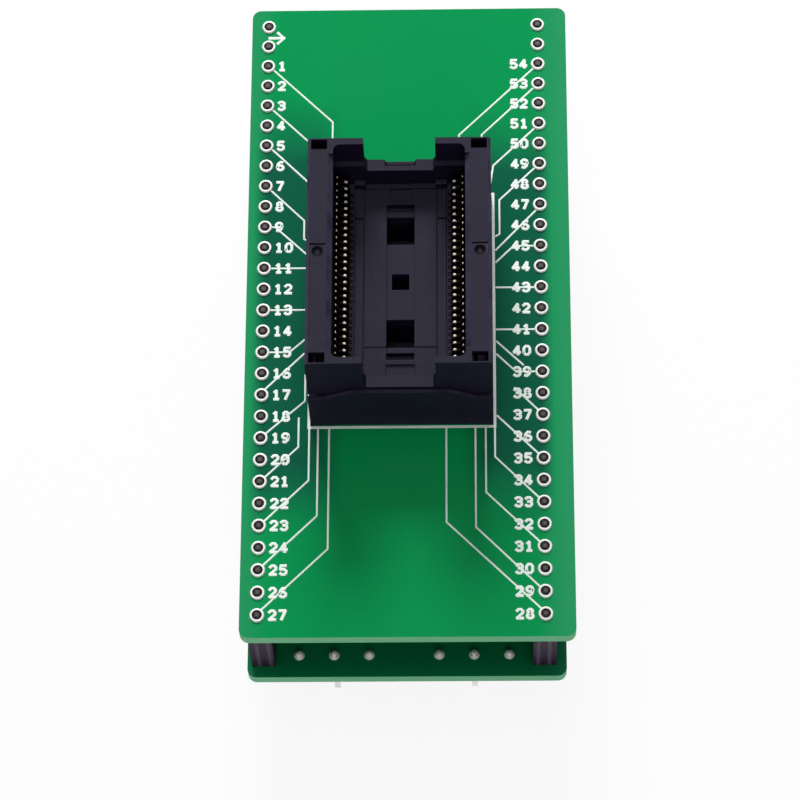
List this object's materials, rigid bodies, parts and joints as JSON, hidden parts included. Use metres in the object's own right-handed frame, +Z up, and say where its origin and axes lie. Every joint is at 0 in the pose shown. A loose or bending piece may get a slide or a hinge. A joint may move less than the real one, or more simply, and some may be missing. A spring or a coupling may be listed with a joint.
{
  "type": "ic test socket adapter",
  "caption": "Open-top test socket for a thin two-row chip, on a plug-in adapter of two green boards that ends in two rows of pins.",
  "frame": {"origin": "on the plane of the lower pins' tips, under the middle of the upper board", "axes": "+Z up out of the socket, +Y along the boards from the front end to pin one's end, +X to the right across the boards"},
  "size_m": [0.0356, 0.0758, 0.0378],
  "materials": {
    "board": "solder mask over glass laminate, satin gloss",
    "header_plastic": "moulded, fine grain",
    "pin_metal": "tinned, slightly dull",
    "socket_plastic": "glass-filled moulding, satin",
    "contact_gold": "gold plated, bright",
    "spring_steel": "drawn wire"
  },
  "bodies": {
    "carrier": {"lower_board": "board", "left_female_strip": "header_plastic", "right_female_strip": "header_plastic", "left_strip_terminals": "pin_metal", "right_strip_terminals": "pin_metal", "left_dip_bar": "header_plastic", "right_dip_bar": "header_plastic", "left_dip_pins": "pin_metal", "right_dip_pins": "pin_metal"},
    "adapter": {"upper_board": "board", "left_header_bar": "header_plastic", "right_header_bar": "header_plastic", "left_header_pins": "pin_metal", "right_header_pins": "pin_metal", "socket_base": "socket_plastic", "chip_platform": "socket_plastic", "left_fixed_contacts": "contact_gold", "right_fixed_contacts": "contact_gold", "front_cover_spring": "spring_steel", "rear_cover_spring": "spring_steel"},
    "cover": {"socket_cover": "socket_plastic"},
    "left_arms": {"left_contact_arms": "contact_gold"},
    "right_arms": {"right_contact_arms": "contact_gold"}
  },
  "joints": [
    {"name": "adapter_unplug", "type": "slide", "parent": "carrier", "child": "adapter", "axis": [0, 0, 1], "range_m": [0, 0.0065]},
    {"name": "cover_press", "type": "slide", "parent": "adapter", "child": "cover", "axis": [0, 0, -1], "range_m": [0, 0.0025], "stiffness_N_per_m": 2000, "springref_m": -0.001, "deforming": ["front_cover_spring", "rear_cover_spring"]},
    {"name": "left_arms_open", "type": "hinge", "parent": "adapter", "child": "left_arms", "pos_m": [-0.00725, 0.00018, 0.02728], "axis": [0, -1, 0], "range_deg": [0, 16]},
    {"name": "right_arms_open", "type": "hinge", "parent": "adapter", "child": "right_arms", "pos_m": [0.00595, 0.00018, 0.02728], "axis": [0, 1, 0], "range_deg": [0, 16]}
  ],
  "couplings": [
    {"joint": "left_arms_open", "follows": "cover_press", "rad_per_m": 97.738},
    {"joint": "right_arms_open", "follows": "cover_press", "rad_per_m": 97.738}
  ]
}
